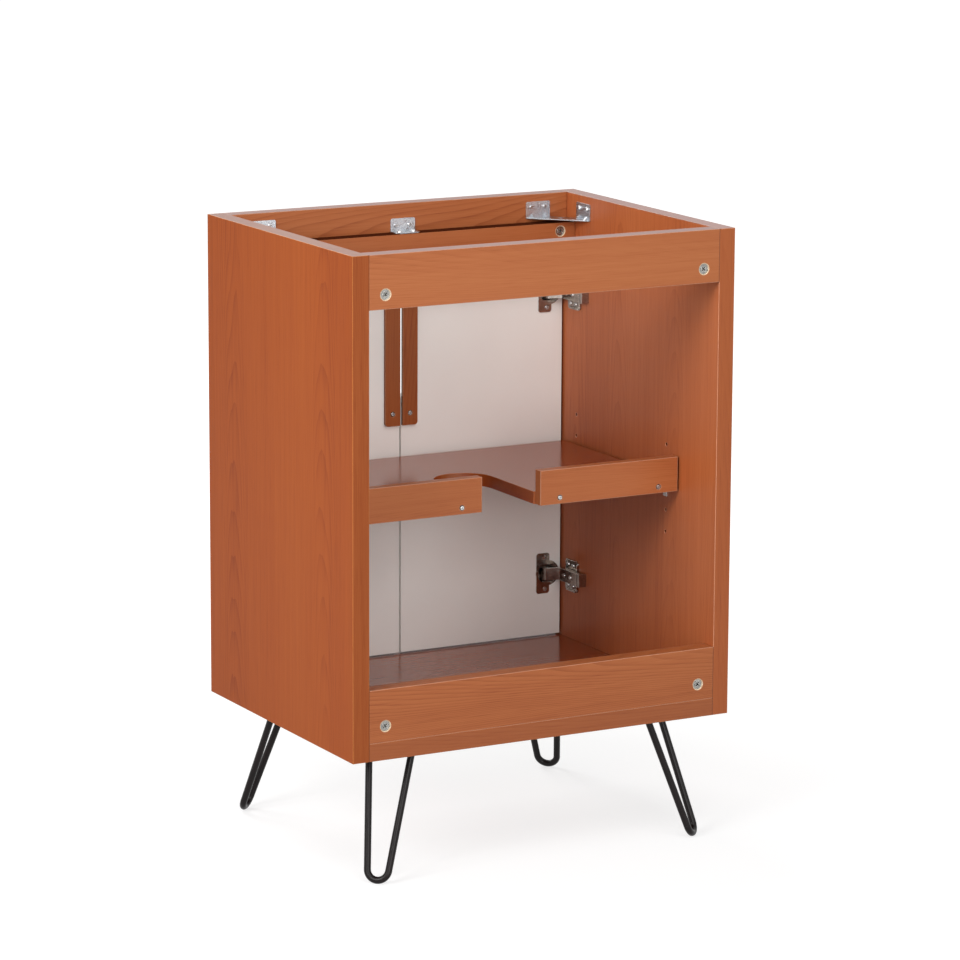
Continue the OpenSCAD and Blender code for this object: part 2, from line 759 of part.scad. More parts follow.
// The cranked arm: an eye on the pin, a tongue out of the cup, a crank and a channel over the plate
module hinge_arm() {
    eye = [pin_u, -pin_w];
    throat = [eye, eye + neck[0], eye + neck[1]];
    collar = throat[1] + (throat[2] - throat[1]) * arm_widens;
    heel = [arm_top_u, crank[1][1] + arm_t * 0.8];
    flange_u0 = plate_t + arm_flange_t;
    color(nickel) difference() {
        union() {
            translate([0, 0, -tongue_w / 2]) linear_extrude(tongue_w) union() {
                translate(eye) circle(eye_r);
                bent_strip(throat, tongue_t);
            }
            translate([0, 0, -arm_w / 2]) linear_extrude(arm_w)
                bent_strip(concat([collar, throat[2]], crank, [heel]), arm_t);
            block([arm_top_u - arm_sheet / 2, crank[1][1], -arm_w / 2 + eps],
                [arm_top_u + arm_sheet / 2, arm_reach, arm_w / 2 - eps]);
            for (z = [-arm_w / 2 + 2 * eps, arm_w / 2 - arm_flange_t - 2 * eps])
                block([flange_u0, arm_flange_w0, z], [arm_top_u, arm_reach - eps, z + arm_flange_t]);
        }
        translate([pin_u, -pin_w, -tongue_w]) cylinder(d = hinge_pin_d + eye_fit, h = 2 * tongue_w);
        for (w = [arm_screw_w[0] - arm_slot, arm_screw_w[0] + arm_slot, arm_screw_w[1]])
            translate([arm_top_u - arm_t, w, 0]) rotate([0, 90, 0]) cylinder(d = arm_hole_d, h = 2 * arm_t);
        block([arm_top_u - arm_t, arm_screw_w[0] - arm_slot, fit - arm_hole_d / 2],
            [arm_top_u + arm_t, arm_screw_w[0] + arm_slot, arm_hole_d / 2 - fit]);
    }
}

module plate_screw_places() {
    for (s = [-1, 1], w = plate_screw_w) translate([plate_t, w, s * plate_screw_z])
        rotate([0, 90, 0]) children();
}

// The mounting plate: two wings with raised edges, a block under the arm and a stop behind it
module hinge_plate() {
    color(nickel) difference() {
        union() {
            translate([0, plate_w0, -plate_h / 2]) rotate([0, -90, 0]) mirror([0, 0, 1])
                linear_extrude(plate_t) rounded_rect([plate_h, plate_w1 - plate_w0], plate_r);
            block([0, block_w0, -block_z / 2], [block_u, arm_reach - plate_t, block_z / 2]);
            block([0, stop_w0 - stop_l, -block_z / 2], [plate_t, stop_w0 + past, block_z / 2]);
            block([0, stop_w0, -arm_w / 2], [arm_top_u + past, stop_w0 + stop_l, arm_w / 2]);
            for (s = [0, 1]) mirror([0, 0, s]) {
                block([0, plate_w0 + plate_r, plate_h / 2 - plate_lip_w],
                    [plate_t + plate_lip_h, plate_w1 - plate_r, plate_h / 2]);
                block([0, plate_w1 - plate_lip_w, arm_w / 2 + clear],
                    [plate_t + plate_lip_h, plate_w1, plate_h / 2 - plate_r]);
            }
        }
        plate_screw_places() translate([0, 0, -plate_t - past])
            cylinder(d = screw_d + clear, h = plate_t + 2 * past);
        for (w = arm_screw_w) translate([block_u - arm_screw_l, w, 0]) rotate([0, 90, 0])
            cylinder(d = arm_screw_d + 2 * fit, h = arm_screw_l + past);
    }
}

// Machine screws that clamp and adjust the arm on its plate
module hinge_arm_screws() {
    color(zinc) for (side = [-1, 1]) on_side(side) for (z = hinge_levels) hinge_frame(z) for (w = arm_screw_w)
        translate([arm_top_u + arm_sheet / 2, w, 0]) rotate([0, 90, 0])
            wood_screw(l = arm_screw_l, d = arm_screw_d, head_d = arm_head_d, head_l = arm_head_l);
}

module hinge_plate_screws() {
    color(zinc) for (side = [-1, 1]) on_side(side) for (z = hinge_levels) hinge_frame(z)
        plate_screw_places() wood_screw(head_d = hinge_head_d, head_l = plate_head_l);
}

module cup_screws() {
    color(zinc) for (z = hinge_levels) hinge_frame(z) cup_screw_places()
        wood_screw(l = hinge_screw_l, head_d = hinge_head_d, head_l = hinge_head_l);
}

// Places of a rear right leg's screws, at the underside of the carcass
module leg_screw_places() {
    translate([leg_top_x, leg_top_y, base_z]) for (x = [-1, 1], y = [-1, 1])
        translate([x * leg_screw_at, y * leg_screw_at, 0]) children();
}

// The rear right hairpin leg: one rod bent into a U, welded to a square plate
module leg() {
    color(black_steel) difference() {
        union() {
            translate([leg_top_x - leg_plate_w / 2, leg_top_y - leg_plate_w / 2, base_z - leg_plate_t])
                linear_extrude(leg_plate_t) rounded_rect([leg_plate_w, leg_plate_w], leg_plate_r);
            difference() {
                translate([leg_top_x, leg_top_y, base_z]) rotate([0, 0, 45])
                    rotate([0, -leg_tilt, 0]) hairpin();
                block([0, 0, base_z - eps], [outer_x, back_y, base_z + 2 * rod_d]);
            }
        }
        leg_screw_places() translate([0, 0, -leg_plate_t - past])
            cylinder(d = screw_d + 2 * clear, h = leg_plate_t + 2 * past);
    }
}

// The bent rod in its own plane, hanging from the origin along -Z and spread along Y. Its straight
// legs are a touch thinner than the bend and run into it, so that they join as one solid.
module hairpin() {
    for (s = [-1, 1]) translate([0, s * half_top, 0]) rotate([s * -rod_angle, 0, 0])
        translate([0, 0, -rod_l - weld]) cylinder(d = rod_d - weld_step, h = rod_l + weld + 2 * past);
    translate([0, 0, -foot_c]) rotate([90, 0, 90]) rotate(180 + rod_angle)
        rotate_extrude(angle = 180 - 2 * rod_angle, $fn = 72) translate([foot_bend_r, 0]) circle(d = rod_d);
}

module leg_screws() {
    color(zinc) for (side = [-1, 1], end = [-1, 1]) on_side(side) on_end(end) leg_screw_places()
        translate([0, 0, -leg_plate_t]) rotate([180, 0, 0]) wood_screw();
}

on_side(1) side_panel();  // right_side_panel
on_side(-1) side_panel();  // left_side_panel
bottom_panel();
back_top_rail();
back_bottom_rail();
front_fascia();
front_stretcher();
cam_locks();
cam_bolts();
dowels();
centre_angle_bracket();
on_side(1) front_bracket_frame() corner_bracket();  // front_right_corner_bracket
on_side(-1) front_bracket_frame() corner_bracket();  // front_left_corner_bracket
on_side(1) rear_bracket_frame() corner_bracket();  // rear_right_corner_bracket
on_side(-1) rear_bracket_frame() corner_bracket();  // rear_left_corner_bracket
bracket_screws();
shelf_board();
on_side(1) shelf_lip();  // right_shelf_lip
on_side(-1) shelf_lip();  // left_shelf_lip
shelf_lip_screws();
shelf_supports();
on_side(1) door();  // right_door
on_side(-1) door();  // left_door
on_side(1) pull_strip();  // right_pull_strip
on_side(-1) pull_strip();  // left_pull_strip
on_side(1) pull_screws();  // right_pull_screws
on_side(-1) pull_screws();  // left_pull_screws
on_side(1) hinge_frame(hinge_levels[0]) hinge_cup();  // right_upper_hinge_cup
on_side(1) hinge_frame(hinge_levels[1]) hinge_cup();  // right_lower_hinge_cup
on_side(-1) hinge_frame(hinge_levels[0]) hinge_cup();  // left_upper_hinge_cup
on_side(-1) hinge_frame(hinge_levels[1]) hinge_cup();  // left_lower_hinge_cup
on_side(1) hinge_frame(hinge_levels[0]) hinge_pin();  // right_upper_hinge_pin
on_side(1) hinge_frame(hinge_levels[1]) hinge_pin();  // right_lower_hinge_pin
on_side(-1) hinge_frame(hinge_levels[0]) hinge_pin();  // left_upper_hinge_pin
on_side(-1) hinge_frame(hinge_levels[1]) hinge_pin();  // left_lower_hinge_pin
on_side(1) hinge_frame(hinge_levels[0]) hinge_arm();  // right_upper_hinge_arm
on_side(1) hinge_frame(hinge_levels[1]) hinge_arm();  // right_lower_hinge_arm
on_side(-1) hinge_frame(hinge_levels[0]) hinge_arm();  // left_upper_hinge_arm
on_side(-1) hinge_frame(hinge_levels[1]) hinge_arm();  // left_lower_hinge_arm
on_side(1) hinge_frame(hinge_levels[0]) hinge_plate();  // right_upper_hinge_plate
on_side(1) hinge_frame(hinge_levels[1]) hinge_plate();  // right_lower_hinge_plate
on_side(-1) hinge_frame(hinge_levels[0]) hinge_plate();  // left_upper_hinge_plate
on_side(-1) hinge_frame(hinge_levels[1]) hinge_plate();  // left_lower_hinge_plate
on_side(1) cup_screws();  // right_cup_screws
on_side(-1) cup_screws();  // left_cup_screws
hinge_plate_screws();
hinge_arm_screws();
on_side(1) on_end(-1) leg();  // front_right_leg
on_side(-1) on_end(-1) leg();  // front_left_leg
on_side(1) on_end(1) leg();  // rear_right_leg
on_side(-1) on_end(1) leg();  // rear_left_leg
leg_screws();
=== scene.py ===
# Looks of the bathroom vanity base cabinet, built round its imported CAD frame.
# Metres, with the floor at z = 0, the doors facing -Y and the open back facing +Y.
import math

import bmesh
import bpy
from mathutils import Matrix, Vector


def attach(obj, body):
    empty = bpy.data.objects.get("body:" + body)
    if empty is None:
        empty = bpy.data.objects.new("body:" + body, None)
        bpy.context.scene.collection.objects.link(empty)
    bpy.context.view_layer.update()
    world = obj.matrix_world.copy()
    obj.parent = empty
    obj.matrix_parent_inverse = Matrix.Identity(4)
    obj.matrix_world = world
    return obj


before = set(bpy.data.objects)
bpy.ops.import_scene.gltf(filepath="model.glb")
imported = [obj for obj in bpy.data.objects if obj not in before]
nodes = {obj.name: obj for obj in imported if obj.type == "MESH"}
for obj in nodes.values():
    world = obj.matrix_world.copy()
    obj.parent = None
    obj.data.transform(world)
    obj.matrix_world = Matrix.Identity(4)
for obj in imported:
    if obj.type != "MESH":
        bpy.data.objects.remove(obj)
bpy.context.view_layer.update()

MM = 0.001

# Camera: where it stands and looks, found from the photograph's straight edges
CAMERA_AZIMUTH = math.radians(151.34)
CAMERA_ELEVATION = math.radians(11.545)
CAMERA_ROLL = math.radians(0.272)
CAMERA_DISTANCE = 6.166
CAMERA_TARGET = Vector((-0.0197, 0, 0.505))
CAMERA_CLIP = (0.1, 100)
LENS_MM = 161.71
SENSOR_MM = 36

# Directions of the grain
ALONG_X = (1, 0, 0)
ALONG_Z = (0, 0, 1)

# Where three masks begin and where they are full. The edge mask, which places painted highlights, goes by
# how far the rounded normal agrees with the flat one, the open mask, which places painted shade, by how
# much of the surroundings is in sight, and the face mask, which also places painted sheen and shade, by how
# much of the normal lies along the axis.
EDGE_MASK = (0.995, 0.92)
OPEN_MASK = (0.15, 0.55)
FACE_MASK = (0.9, 0.95)


def srgb(red, green, blue):
    """A linear colour from red, green and blue out of 255."""
    def linear(level):
        level /= 255
        return level / 12.92 if level <= 0.04045 else ((level + 0.055) / 1.055) ** 2.4
    return (linear(red), linear(green), linear(blue), 1)


def node(tree, kind, inputs, output=0, **settings):
    """Adds a shader node, sets or links its inputs, and returns one of its outputs."""
    made = tree.nodes.new("ShaderNode" + kind)
    for key, value in settings.items():
        setattr(made, key, value)
    for key, value in inputs.items():
        if isinstance(value, bpy.types.NodeSocket):
            tree.links.new(value, made.inputs[key])
        else:
            made.inputs[key].default_value = value
    return made.outputs[output]


def maths(tree, operation, *values, clamp=False):
    """One step of arithmetic on outputs or plain numbers."""
    return node(tree, "Math", dict(enumerate(values)), operation=operation, use_clamp=clamp)


def product(tree, first, second):
    return maths(tree, "MULTIPLY", first, second)


def total(tree, first, *others):
    """The sum of all the values, added in turn."""
    for value in others:
        first = maths(tree, "ADD", first, value)
    return first


def blend(tree, first, second, share):
    """The sum of two levels, of which the first one has the given share."""
    return total(tree, product(tree, first, share), product(tree, second, 1 - share))


def dot(tree, first, second):
    """How far the first vector reaches along the second."""
    return node(tree, "VectorMath", {0: first, 1: second}, output="Value", operation="DOT_PRODUCT")


def component(tree, vector, axis):
    """A vector's own part along X, Y or Z."""
    return node(tree, "SeparateXYZ", {0: vector}, output=axis)


def spread(tree, value, low, high):
    """Maps 0 to 1 onto low to high."""
    return node(tree, "MapRange", {"Value": value, "To Min": low, "To Max": high})


def around(tree, value, middle, half):
    """Maps 0 to 1 onto a range that reaches half to either side of its middle."""
    return spread(tree, value, middle - half, middle + half)


def between(tree, value, start, end, low=0, high=1):
    """Maps start to end onto low to high."""
    return node(tree, "MapRange", {"Value": value, "From Min": start, "From Max": end,
                                   "To Min": low, "To Max": high})


def ramp(tree, value, stops):
    """A colour ramp through pairs of a place and a linear colour."""
    made = tree.nodes.new("ShaderNodeValToRGB")
    tree.links.new(value, made.inputs[0])
    elements = made.color_ramp.elements
    while len(elements) < len(stops):
        elements.new(0.5)
    for element, (place, colour) in zip(elements, stops):
        element.position = place
        element.color = colour
    return made.outputs[0]


def mix(tree, amount, first, second):
    """The first colour where the amount is 0, and the second where it is 1."""
    return node(tree, "MixRGB", {"Fac": amount, "Color1": first, "Color2": second})


def times(tree, colour, factor):
    """A colour multiplied by another, or by a level of grey."""
    return node(tree, "MixRGB", {"Fac": 1.0, "Color1": colour, "Color2": factor}, blend_type="MULTIPLY")


def place_of(tree, stretch=(1, 1, 1), shift=(0, 0, 0)):
    """Object coordinates, scaled and shifted."""
    where = node(tree, "TexCoord", {}, output="Object")
    return node(tree, "Mapping", {"Vector": where, "Location": shift, "Scale": stretch})


def noise(tree, where, scale, detail=2.0, roughness=0.5, output=0):
    return node(tree, "TexNoise", {"Vector": where, "Scale": scale, "Detail": detail,
                                   "Roughness": roughness}, output=output)


def cells(tree, where, scale):
    """Irregular cells, each with its own level from 0 to 1."""
    return node(tree, "SeparateColor",
                {0: node(tree, "TexVoronoi", {"Vector": where, "Scale": scale}, output="Color")})


def bevel(tree, radius, samples=6):
    """A normal that is rounded at edges, with the radius in metres."""
    return node(tree, "Bevel", {"Radius": radius}, samples=samples)


def bump(tree, height, strength, depth, **over):
    """A normal that follows a height, with the depth in metres, over the one given as Normal."""
    return node(tree, "Bump", {"Height": height, "Strength": strength, "Distance": depth, **over})


def highlit_edge(tree, radius):
    """A rounded normal, and a mask that is 1 on sharp edges and 0 on flat faces, where the painted
    highlights go.
    """
    rounded = bevel(tree, radius, samples=8)
    flat = node(tree, "NewGeometry", {}, output="Normal")
    return rounded, between(tree, dot(tree, rounded, flat), *EDGE_MASK)


def in_open(tree, reach):
    """1 in the open, and 0 in gaps and recesses that are tight within a reach in metres; it places painted
    shade.
    """
    seen = node(tree, "AmbientOcclusion", {"Distance": reach}, output="AO", samples=6)
    return between(tree, seen, *OPEN_MASK)


def facing(tree, axis):
    """1 on faces that look either way along an axis, and 0 on the others."""
    turned = node(tree, "TexCoord", {}, output="Normal")
    return between(tree, maths(tree, "ABSOLUTE", component(tree, turned, axis)), *FACE_MASK)


def show(tree, surface, target="Material"):
    """Links a shader to the output of its material or world."""
    out = tree.nodes.new("ShaderNodeOutput" + target)
    tree.links.new(surface, out.inputs["Surface"])


def emptied(block):
    """The node tree of a new material or world, with nothing in it."""
    block.use_nodes = True
    block.node_tree.nodes.clear()
    return block.node_tree


def material(name, **constants):
    """An empty material with a Principled shader, whose constants are set on its own sockets."""
    made = bpy.data.materials.new(name)
    tree = emptied(made)
    shader = tree.nodes.new("ShaderNodeBsdfPrincipled")
    show(tree, shader.outputs[0])
    for key, value in constants.items():
        shader.inputs[key.replace("_", " ")].default_value = value
    return made, tree, shader


def connect(tree, shader, **outputs):
    """Links outputs to the shader's inputs of the same names."""
    for key, output in outputs.items():
        tree.links.new(output, shader.inputs[key.replace("_", " ")])


# Cherry laminate: fine streaks along the grain, growth rings that run out into long arches, and pores.
# Its colours run from the darkest to the lightest shade, and every seed moves the pattern to another place.
CHERRY_STOPS = [(0.05, (140, 62, 28)), (0.5, (184, 98, 48)), (0.95, (203, 118, 62))]
# Pale colour of the painted highlight on every free arris, as if the rounded edge caught the light
CHERRY_EDGE_HIGHLIGHT = (240, 174, 126)
SEED_SHIFT = (0.37, 0.23, 0.31)
SEED_STEP = 0.043

# Scales along the grain, where 1 is the scale across it
FIBRE_SCALE = 1 / 45
SLOW_SCALE = 0.08
BEND_SCALE = 0.35

# Layers of noise: scale, detail and roughness
BROAD_NOISE = (8, 2, 0.5)
STREAK_NOISE = (130, 5, 0.72)
FINE_NOISE = (560, 2, 0.6)
PORE_NOISE = (1000, 1, 0.5)
DRIFT_NOISE = (9, 2, 0.5)
WOBBLE_NOISE = (45, 2, 0.5)
WANDER_NOISE = (6, 2, 0.5)
PATCH_NOISE = (7, 2, 0.5)

# Growth rings: half the width of an arch and the drift of its middle in metres, rings per metre of grain,
# how fast they crowd away from the middle, their wobble and wander counted in rings, how sharply each one
# darkens, and the levels of noise between which they come up
FIGURE_HALF_PERIOD = 0.07
RING_DRIFT = 0.03
RINGS_PER_METRE = 15
RING_CROWDING = 3000
RING_WOBBLE = 0.5
RING_WANDER = 3
RING_SHARPNESS = 3.0
RING_PATCHES = (0.4, 0.62)

# The shade adds a broad layer, streaks and fine fibres, and takes away rings and pores. Streaks and fibres
# have a mean level, and the strength of the fibres and of the pores is a share of that of the streaks.
BROAD_SHARE = 0.4
STREAK_LEVEL = 0.25
FINE_LEVEL = 0.11
FINE_SHARE = 0.44
PORE_SHARE = 0.48
PORE_LEVELS = (0.58, 0.7)
MEAN_SHADE = 0.5

# Edges, gaps and gloss: radius of an arris, which also sets the width of its painted highlight, what is
# left of the colour in a joint, reach of a gap and what is left of the colour under the painted shade in
# it, spread of the roughness either way, and depth of the relief
ARRIS_RADIUS = 1.5 * MM
JOINT_SHADE = 0.55
GAP_REACH = 7 * MM
GAP_SHADE = 0.3
ROUGH_SHARE = 0.15
RELIEF_DEPTH = 0.1 * MM


def extent(axis, *names):
    """The lowest and the highest place that CAD nodes reach along an axis, in their own coordinates."""
    places = [corner[axis] for name in names for corner in nodes[name].bound_box]
    return min(places), max(places)


# Joints of the boards, from the frame: how far from the middle the rails meet the side panels, and the two
# stretches of height in which they do. The dark line on a rail and the one on a panel have half widths.
JOINT_X = extent(0, "back_top_rail")[1]
RAIL_LEVELS = [extent(2, "back_top_rail"), extent(2, "bottom_panel", "back_bottom_rail")]
RAIL_LINE = 0.9 * MM
PANEL_LINE = 2 * MM


def at_joint(tree, kind):
    """1 along a board's joints with its neighbours; a side panel only has them beside the back rails."""
    where = place_of(tree)
    across = maths(tree, "ABSOLUTE", component(tree, where, "X"))
    if kind != "panel":
        return maths(tree, "COMPARE", across, JOINT_X, RAIL_LINE)
    up = component(tree, where, "Z")
    beside = total(tree, *(maths(tree, "COMPARE", up, (low + high) / 2, (high - low) / 2)
                           for low, high in RAIL_LEVELS))
    return product(tree, maths(tree, "COMPARE", across, JOINT_X, PANEL_LINE), beside)


def along_grain(tree, grain, scale, seed=0):
    """Object coordinates that are scaled along the grain and moved by the seed."""
    return place_of(tree, tuple(scale if runs else 1 for runs in grain),
                    tuple(seed * step for step in SEED_SHIFT))


def growth_rings(tree, grain, across, seed, strength):
    """Rings that crowd away from the middle of each arch, and wander slowly along the grain."""
    where = place_of(tree)
    fibres, slow, bends = [along_grain(tree, grain, scale, seed)
                           for scale in (FIBRE_SCALE, SLOW_SCALE, BEND_SCALE)]
    drift = around(tree, noise(tree, slow, *DRIFT_NOISE), 0, RING_DRIFT)
    wobble = around(tree, noise(tree, fibres, *WOBBLE_NOISE), 0, RING_WOBBLE)
    wander = around(tree, noise(tree, bends, *WANDER_NOISE), 0, RING_WANDER)
    width = total(tree, dot(tree, where, across), drift, seed * SEED_STEP)
    reach = maths(tree, "PINGPONG", width, FIGURE_HALF_PERIOD)
    crowded = product(tree, maths(tree, "POWER", reach, 2.0), RING_CROWDING)
    even = product(tree, dot(tree, where, grain), RINGS_PER_METRE)
    phase = maths(tree, "FRACT", total(tree, even, crowded, wobble, wander))
    shown = between(tree, noise(tree, slow, *PATCH_NOISE), *RING_PATCHES, high=strength)
    return product(tree, maths(tree, "POWER", phase, RING_SHARPNESS), shown)


def wood_shade(tree, grain, across, seed, look):
    """The shade of the laminate, from 0, dark, to 1, light, and its finest layer of noise."""
    fibres, slow = [along_grain(tree, grain, scale, seed) for scale in (FIBRE_SCALE, SLOW_SCALE)]
    fine = noise(tree, fibres, *FINE_NOISE)
    pores = between(tree, noise(tree, fibres, *PORE_NOISE), *PORE_LEVELS)
    half = look["streaks"] / 2
    shade = total(tree, product(tree, noise(tree, slow, *BROAD_NOISE), BROAD_SHARE),
                  around(tree, noise(tree, fibres, *STREAK_NOISE), STREAK_LEVEL, half),
                  around(tree, fine, FINE_LEVEL, FINE_SHARE * half))
    shade = maths(tree, "SUBTRACT", shade, growth_rings(tree, grain, across, seed, look["figure"]))
    shade = maths(tree, "SUBTRACT", shade, product(tree, pores, PORE_SHARE * half), clamp=True)
    return shade, fine


def cherry(name, grain, across, seed, look):
    """Laminate with its grain along one axis; across is the direction in which its figure repeats."""
    made, tree, shader = material(name)
    level = facing(tree, "Z")
    shade, fine = wood_shade(tree, grain, across, seed, look)
    shade = spread(tree, product(tree, level, look["calm"]), shade, MEAN_SHADE)

    # The tints are partly the board's own colour and partly painted sheen and shade.
    def tinted(colour):
        return srgb(*(part * tint_and_painted_light for part, tint_and_painted_light in zip(colour, look["tint_and_painted_light"])))
    wood = ramp(tree, shade, [(place, tinted(colour)) for place, colour in CHERRY_STOPS])

    # Painted sheen and shade: what faces the front or the back, and what looks up or down, get tints of
    # their own
    wood = mix(tree, facing(tree, "Y"), wood, times(tree, wood, (*look["band_sheen_and_shade"], 1)))
    wood = mix(tree, level, wood, times(tree, wood, (*look["top"], 1)))

    # Painted highlight: every free arris is pale, as if it caught the light, and a joint is a fine dark
    # line
    rounded, arris = highlit_edge(tree, ARRIS_RADIUS)
    joint = at_joint(tree, look["joint"])
    free = spread(tree, joint, look["arris"], 0)
    wood = mix(tree, product(tree, arris, free), wood, tinted(CHERRY_EDGE_HIGHLIGHT))
    wood = times(tree, wood, spread(tree, product(tree, arris, joint), 1, JOINT_SHADE))

    # Painted shade: gaps and recesses are darkened in their colour, and their reflection is taken away
    clear = in_open(tree, GAP_REACH)
    shine = spread(tree, level, look["shine"], look["top_shine"])
    connect(tree, shader, Base_Color=times(tree, wood, spread(tree, clear, GAP_SHADE, 1)),
            Specular_IOR_Level=product(tree, clear, shine),
            Roughness=around(tree, fine, look["rough"], look["rough"] * ROUGH_SHARE),
            Normal=bump(tree, fine, look["relief"], RELIEF_DEPTH, Normal=rounded))
    return made


LACQUER_STOPS = [(0.2, srgb(238, 236, 232)), (0.8, srgb(243, 242, 238))]


def lacquer(name):
    """Warm white lacquer with a faint orange-peel surface."""
    made, tree, shader = material(name, Specular_IOR_Level=0.5)
    where = place_of(tree)
    cloud = noise(tree, where, scale=9, detail=4)
    peel = noise(tree, where, scale=420, detail=2)
    rounded = bevel(tree, radius=0.8 * MM)
    connect(tree, shader, Base_Color=ramp(tree, cloud, LACQUER_STOPS),
            Roughness=spread(tree, cloud, low=0.26, high=0.32),
            Normal=bump(tree, peel, strength=0.03, depth=0.1 * MM, Normal=rounded))
    return made


# Plated metal: levels of noise at which its dull and its bright colour are reached, how much coarser its
# clouds are than its grit, the pale colour of a painted highlight on its edges and how far it shows, the
# reach of its gaps and what is left of the colour under the painted shade in them
PLATE_DULL = 0.35
PLATE_BRIGHT = 0.65
PLATE_CLOUDS = 9
PLATE_EDGE_HIGHLIGHT = srgb(244, 241, 236)
PLATE_HIGHLIGHT_SHARE = 0.8
PLATE_GAP = 4 * MM
PLATE_GAP_SHADE = 0.12


def plated(name, dull, bright, roughness, scale=900, rounding=0.3 * MM):
    """Plated metal with fine variation in its colour, and in its gloss between two values of roughness."""
    made, tree, shader = material(name, Metallic=1.0)
    where = place_of(tree)
    grit = noise(tree, where, scale, detail=3)
    cloud = noise(tree, where, scale / PLATE_CLOUDS, detail=2)
    mean = product(tree, total(tree, grit, cloud), 0.5)
    rounded, edge = highlit_edge(tree, rounding)
    colour = ramp(tree, mean, [(PLATE_DULL, srgb(*dull)), (PLATE_BRIGHT, srgb(*bright))])
    # Painted highlight on the edges, and painted shade in gaps and recesses
    colour = mix(tree, product(tree, edge, PLATE_HIGHLIGHT_SHARE), colour, PLATE_EDGE_HIGHLIGHT)
    clear = in_open(tree, PLATE_GAP)
    connect(tree, shader, Base_Color=times(tree, colour, spread(tree, clear, PLATE_GAP_SHADE, 1)),
            Roughness=spread(tree, cloud, *roughness),
            Normal=bump(tree, grit, strength=0.08, depth=0.05 * MM, Normal=rounded))
    return made


# Zinc crystals: a slow noise scales each place and so bends them, and a small shift is added
GALVANISED_STOPS = [(0.05, srgb(126, 136, 152)), (0.5, srgb(182, 186, 192)), (0.95, srgb(222, 224, 222))]
CRYSTAL_SHIFT = (6 * MM, 6 * MM, 6 * MM)


def galvanised(name):
    """Hot-dipped steel: pale crystals of slightly different brightness and gloss."""
    made, tree, shader = material(name, Metallic=1.0)
    where = place_of(tree)
    slow = noise(tree, where, scale=160, output="Color")
    bent = node(tree, "VectorMath", {0: where, 1: slow, 2: CRYSTAL_SHIFT}, operation="MULTIPLY_ADD")
    level = cells(tree, bent, scale=420)
    grit = noise(tree, where, scale=1500, detail=2)
    mixed = blend(tree, level, grit, share=0.8)
    rounded = bevel(tree, radius=0.4 * MM)
    connect(tree, shader, Base_Color=ramp(tree, mixed, GALVANISED_STOPS),
            Roughness=spread(tree, level, low=0.1, high=0.34),
            Normal=bump(tree, mixed, strength=0.3, depth=0.15 * MM, Normal=rounded))
    return made


COAT_STOPS = [(0.3, srgb(15, 10, 10)), (0.7, srgb(25, 18, 18))]


def powder_coat(name):
    """Satin black powder coat with its fine grained surface."""
    made, tree, shader = material(name, Specular_IOR_Level=0.2)
    where = place_of(tree)
    grains = noise(tree, where, scale=1300, detail=2)
    cloud = noise(tree, where, scale=30, detail=2)
    rounded = bevel(tree, radius=0.5 * MM)
    connect(tree, shader, Base_Color=ramp(tree, cloud, COAT_STOPS),
            Roughness=spread(tree, grains, low=0.24, high=0.36),
            Normal=bump(tree, grains, strength=0.2, depth=0.1 * MM, Normal=rounded))
    return made


BEECH_STOPS = [(0.35, srgb(186, 146, 102)), (0.65, srgb(214, 178, 134))]
BEECH_SCALE = 0.05


def bare_wood(name, grain):
    """Pale sanded beech with short flecks."""
    made, tree, shader = material(name, Specular_IOR_Level=0.3)
    flecks = noise(tree, along_grain(tree, grain, BEECH_SCALE), scale=900, detail=3)
    connect(tree, shader, Base_Color=ramp(tree, flecks, BEECH_STOPS),
            Roughness=spread(tree, flecks, low=0.6, high=0.75),
            Normal=bump(tree, flecks, strength=0.2, depth=0.1 * MM))
    return made


CHIP_STOPS = [(0.2, srgb(196, 168, 134)), (0.8, srgb(236, 216, 188))]


def chipboard(name):
    """Bare chipboard: pale chips of different size and shade."""
    made, tree, shader = material(name, Specular_IOR_Level=0.2)
    where = place_of(tree)
    chips = cells(tree, where, scale=900)
    dust = noise(tree, where, scale=2600, detail=2)
    mixed = blend(tree, chips, dust, share=0.7)
    connect(tree, shader, Base_Color=ramp(tree, mixed, CHIP_STOPS),
            Roughness=spread(tree, dust, low=0.75, high=0.95),
            Normal=bump(tree, mixed, strength=0.4, depth=0.15 * MM))
    return made


# Looks of the laminate. Three tints are of red, green and blue: one for the whole board, which is partly
# its own colour and partly painted sheen and shade; one of painted sheen and shade for what faces the front
# or the back;
# and one for what looks up or down, which is painted sheen on the rim's level faces and painted shade on
# the stretcher's upper face. Shine and top_shine are the reflection of upright and of level faces. Figure
# is the strength of the growth rings, and arris that of the painted highlight on the edges. Calm takes the
# pattern off level faces, and joint says which edges meet neighbours.
PLAIN = (1, 1, 1)
# The outer and the inner look dress two side panels of the same laminate: their tints differ by painted
# sheen and shade.
OUTER = {"tint_and_painted_light": (0.91, 0.82, 0.64), "band_sheen_and_shade": (0.82, 1.0, 1.85), "top": (0.8, 1.6, 6), "shine": 0.05,
         "top_shine": 0.5, "rough": 0.4, "relief": 0.1, "figure": 0.22, "streaks": 0.6, "arris": 0.75,
         "joint": "panel", "calm": 0}
INNER = dict(OUTER, tint_and_painted_light=(0.99, 1.01, 1.14), band_sheen_and_shade=(0.74, 0.67, 0.52), top=(0.66, 0.85, 1.8), shine=0.3,
             rough=0.32, relief=0.08, figure=0.17, streaks=0.5)
RAIL = {"tint_and_painted_light": (0.91, 0.97, 1.13), "band_sheen_and_shade": PLAIN, "top": PLAIN, "shine": 0.25, "top_shine": 0.25,
        "rough": 0.36, "relief": 0.1, "figure": 0.3, "streaks": 0.5, "arris": 0.75,
        "joint": "rail", "calm": 0}
RIM_RAIL = dict(RAIL, top=(0.72, 0.95, 2.0), top_shine=0.5)
